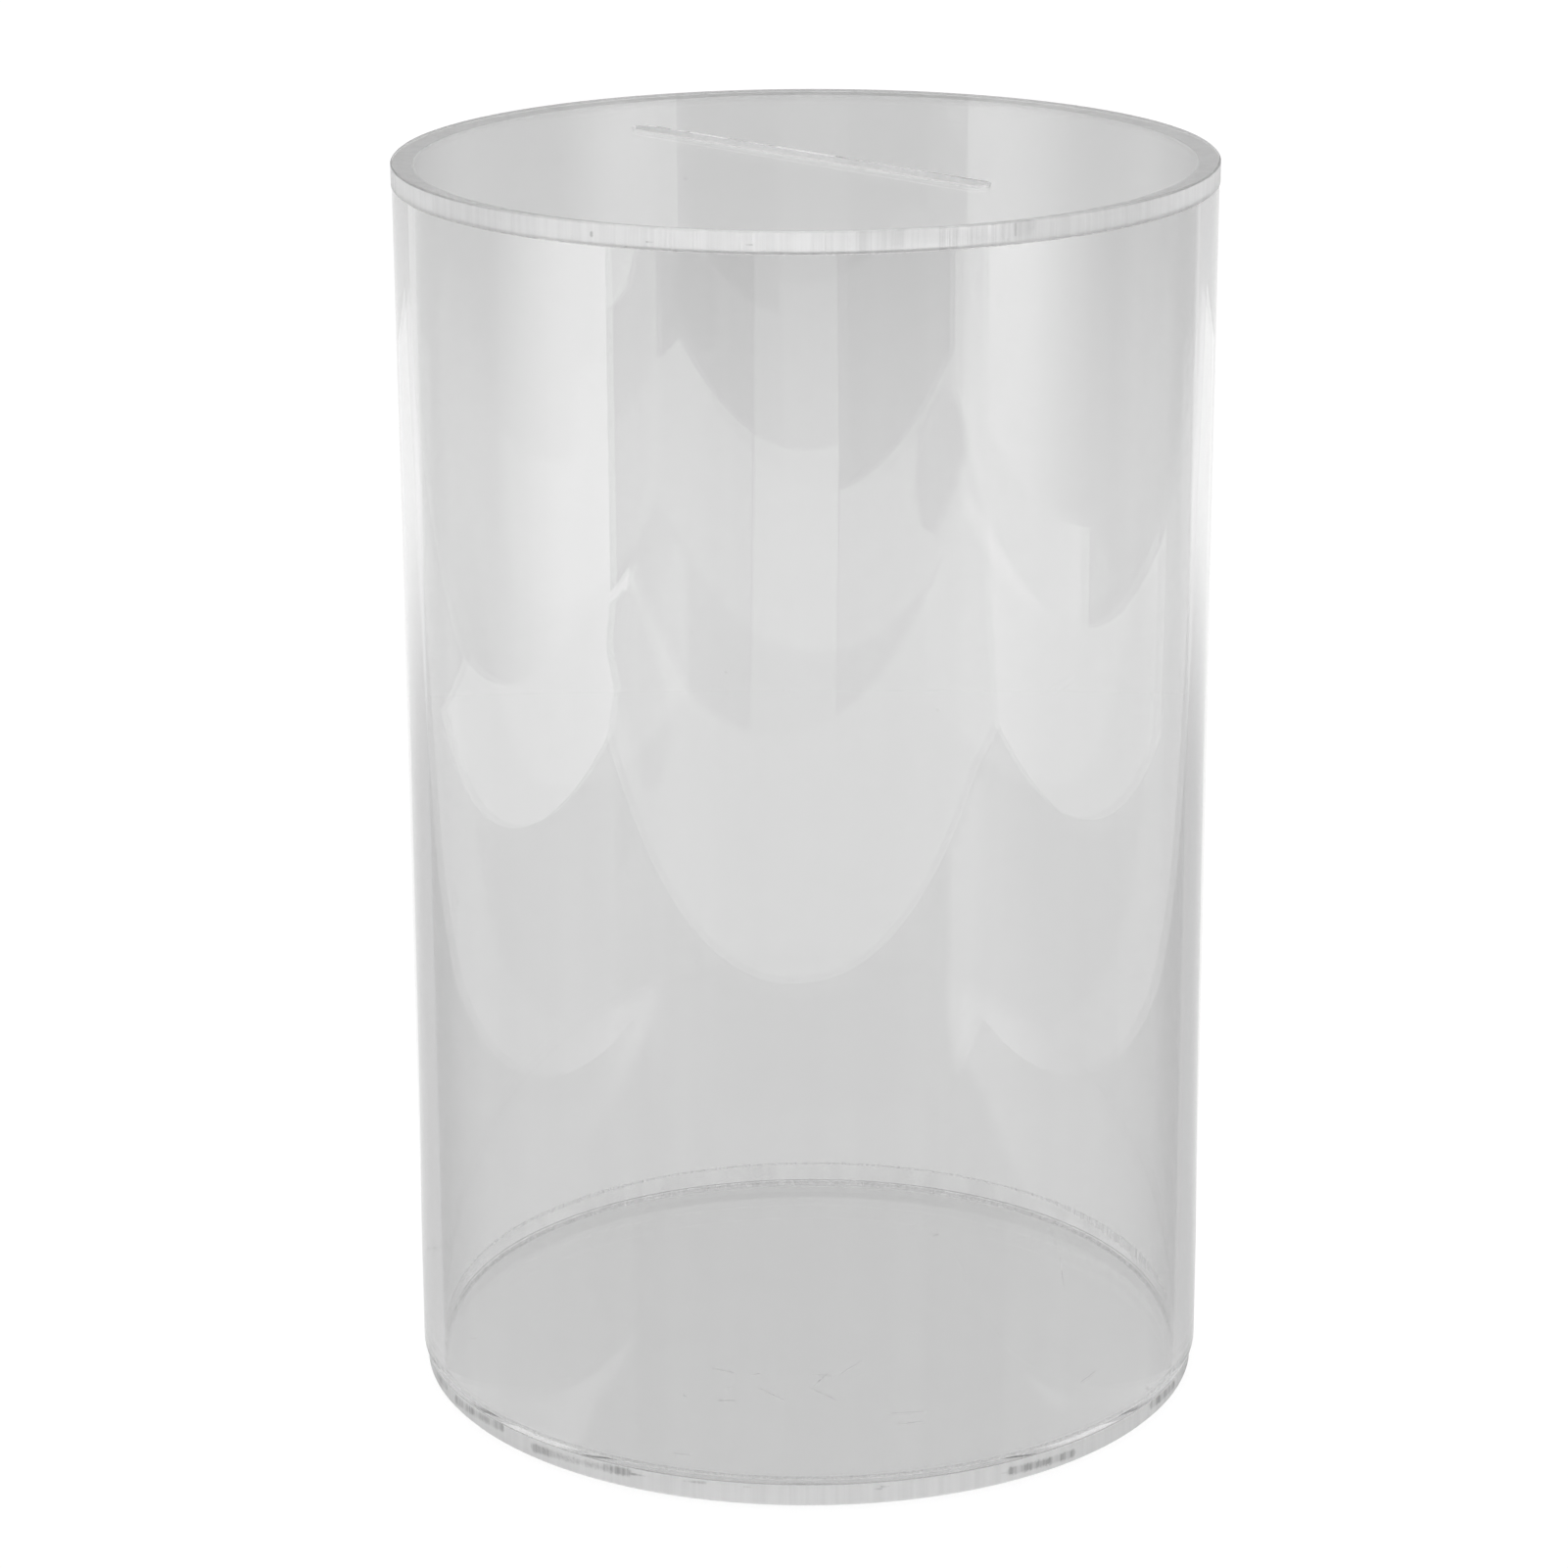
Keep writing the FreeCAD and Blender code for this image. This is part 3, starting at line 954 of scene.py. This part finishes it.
def makeFloor():
    bm = bmesh.new()
    bmesh.ops.create_grid(bm, x_segments=1, y_segments=1, size=floor["halfWidth"])
    bmesh.ops.translate(bm, verts=bm.verts, vec=(0, 0, -floor["drop"]))
    mesh = bpy.data.meshes.new("floor")
    bm.to_mesh(mesh)
    bm.free()
    material, nodes, links, sheet = newMaterial("floorWhite")
    sheet.inputs["Base Color"].default_value = grey(floor["albedo"])
    sheet.inputs["Roughness"].default_value = floor["roughness"]
    sheet.inputs["Emission Color"].default_value = grey(1)
    where = nodes.new("ShaderNodeTexCoord")
    away = nodes.new("ShaderNodeVectorMath")
    away.operation = "LENGTH"
    # Painted pool of light: the glow fades from glow near the box to farGlow further away
    fall = rangeNode(nodes, (floor["near"], floor["far"]), floor["glow"], floor["farGlow"])
    links.new(where.outputs["Object"], away.inputs[0])
    links.new(away.outputs["Value"], fall.inputs["Value"])
    covered = mathNode(nodes, links, "LESS_THAN", away.outputs["Value"], floor["coveredEnd"])
    gloss = mathNode(nodes, links, "MULTIPLY_ADD", covered, -floor["gloss"], floor["gloss"])
    links.new(gloss, sheet.inputs["Specular IOR Level"])
    # Painted shadow: under the box the floor's glow drops to a lower level
    shadow = mathNode(nodes, links, "MULTIPLY", covered, floor["paintedShadowGlow"] - floor["glow"])
    glowing = mathNode(nodes, links, "ADD", fall.outputs["Result"], shadow)
    links.new(glowing, sheet.inputs["Emission Strength"])
    matt = nodes.new("ShaderNodeBsdfDiffuse")
    matt.inputs["Color"].default_value = grey(floor["seenAlbedo"])
    glow = nodes.new("ShaderNodeEmission")
    glow.inputs["Strength"].default_value = floor["seenWhite"] - floor["seenAlbedo"]
    total = nodes.new("ShaderNodeAddShader")
    links.new(matt.outputs[0], total.inputs[0])
    links.new(glow.outputs[0], total.inputs[1])
    path = nodes.new("ShaderNodeLightPath")
    chosen = nodes.new("ShaderNodeMixShader")
    links.new(path.outputs["Is Camera Ray"], chosen.inputs["Fac"])
    links.new(sheet.outputs[0], chosen.inputs[1])
    links.new(total.outputs[0], chosen.inputs[2])
    links.new(chosen.outputs[0], nodes["Material Output"].inputs["Surface"])
    mesh.materials.append(material)
    plane = bpy.data.objects.new("floor", mesh)
    scene.collection.objects.link(plane)


def makeWorld():
    world = bpy.data.worlds.new("studioWhite")
    world.use_nodes = True
    sky = world.node_tree.nodes["Background"]
    sky.inputs["Color"].default_value = (1, 1, 1, 1)
    sky.inputs["Strength"].default_value = 1.0
    scene.world = world


makeFloor()
makeWorld()
print("studio made")

scene.view_settings.view_transform = "Standard"
scene.cycles.max_bounces = 48
scene.cycles.glossy_bounces = 48
scene.cycles.transmission_bounces = 48
scene.cycles.transparent_max_bounces = 64
scene.cycles.blur_glossy = 0.05
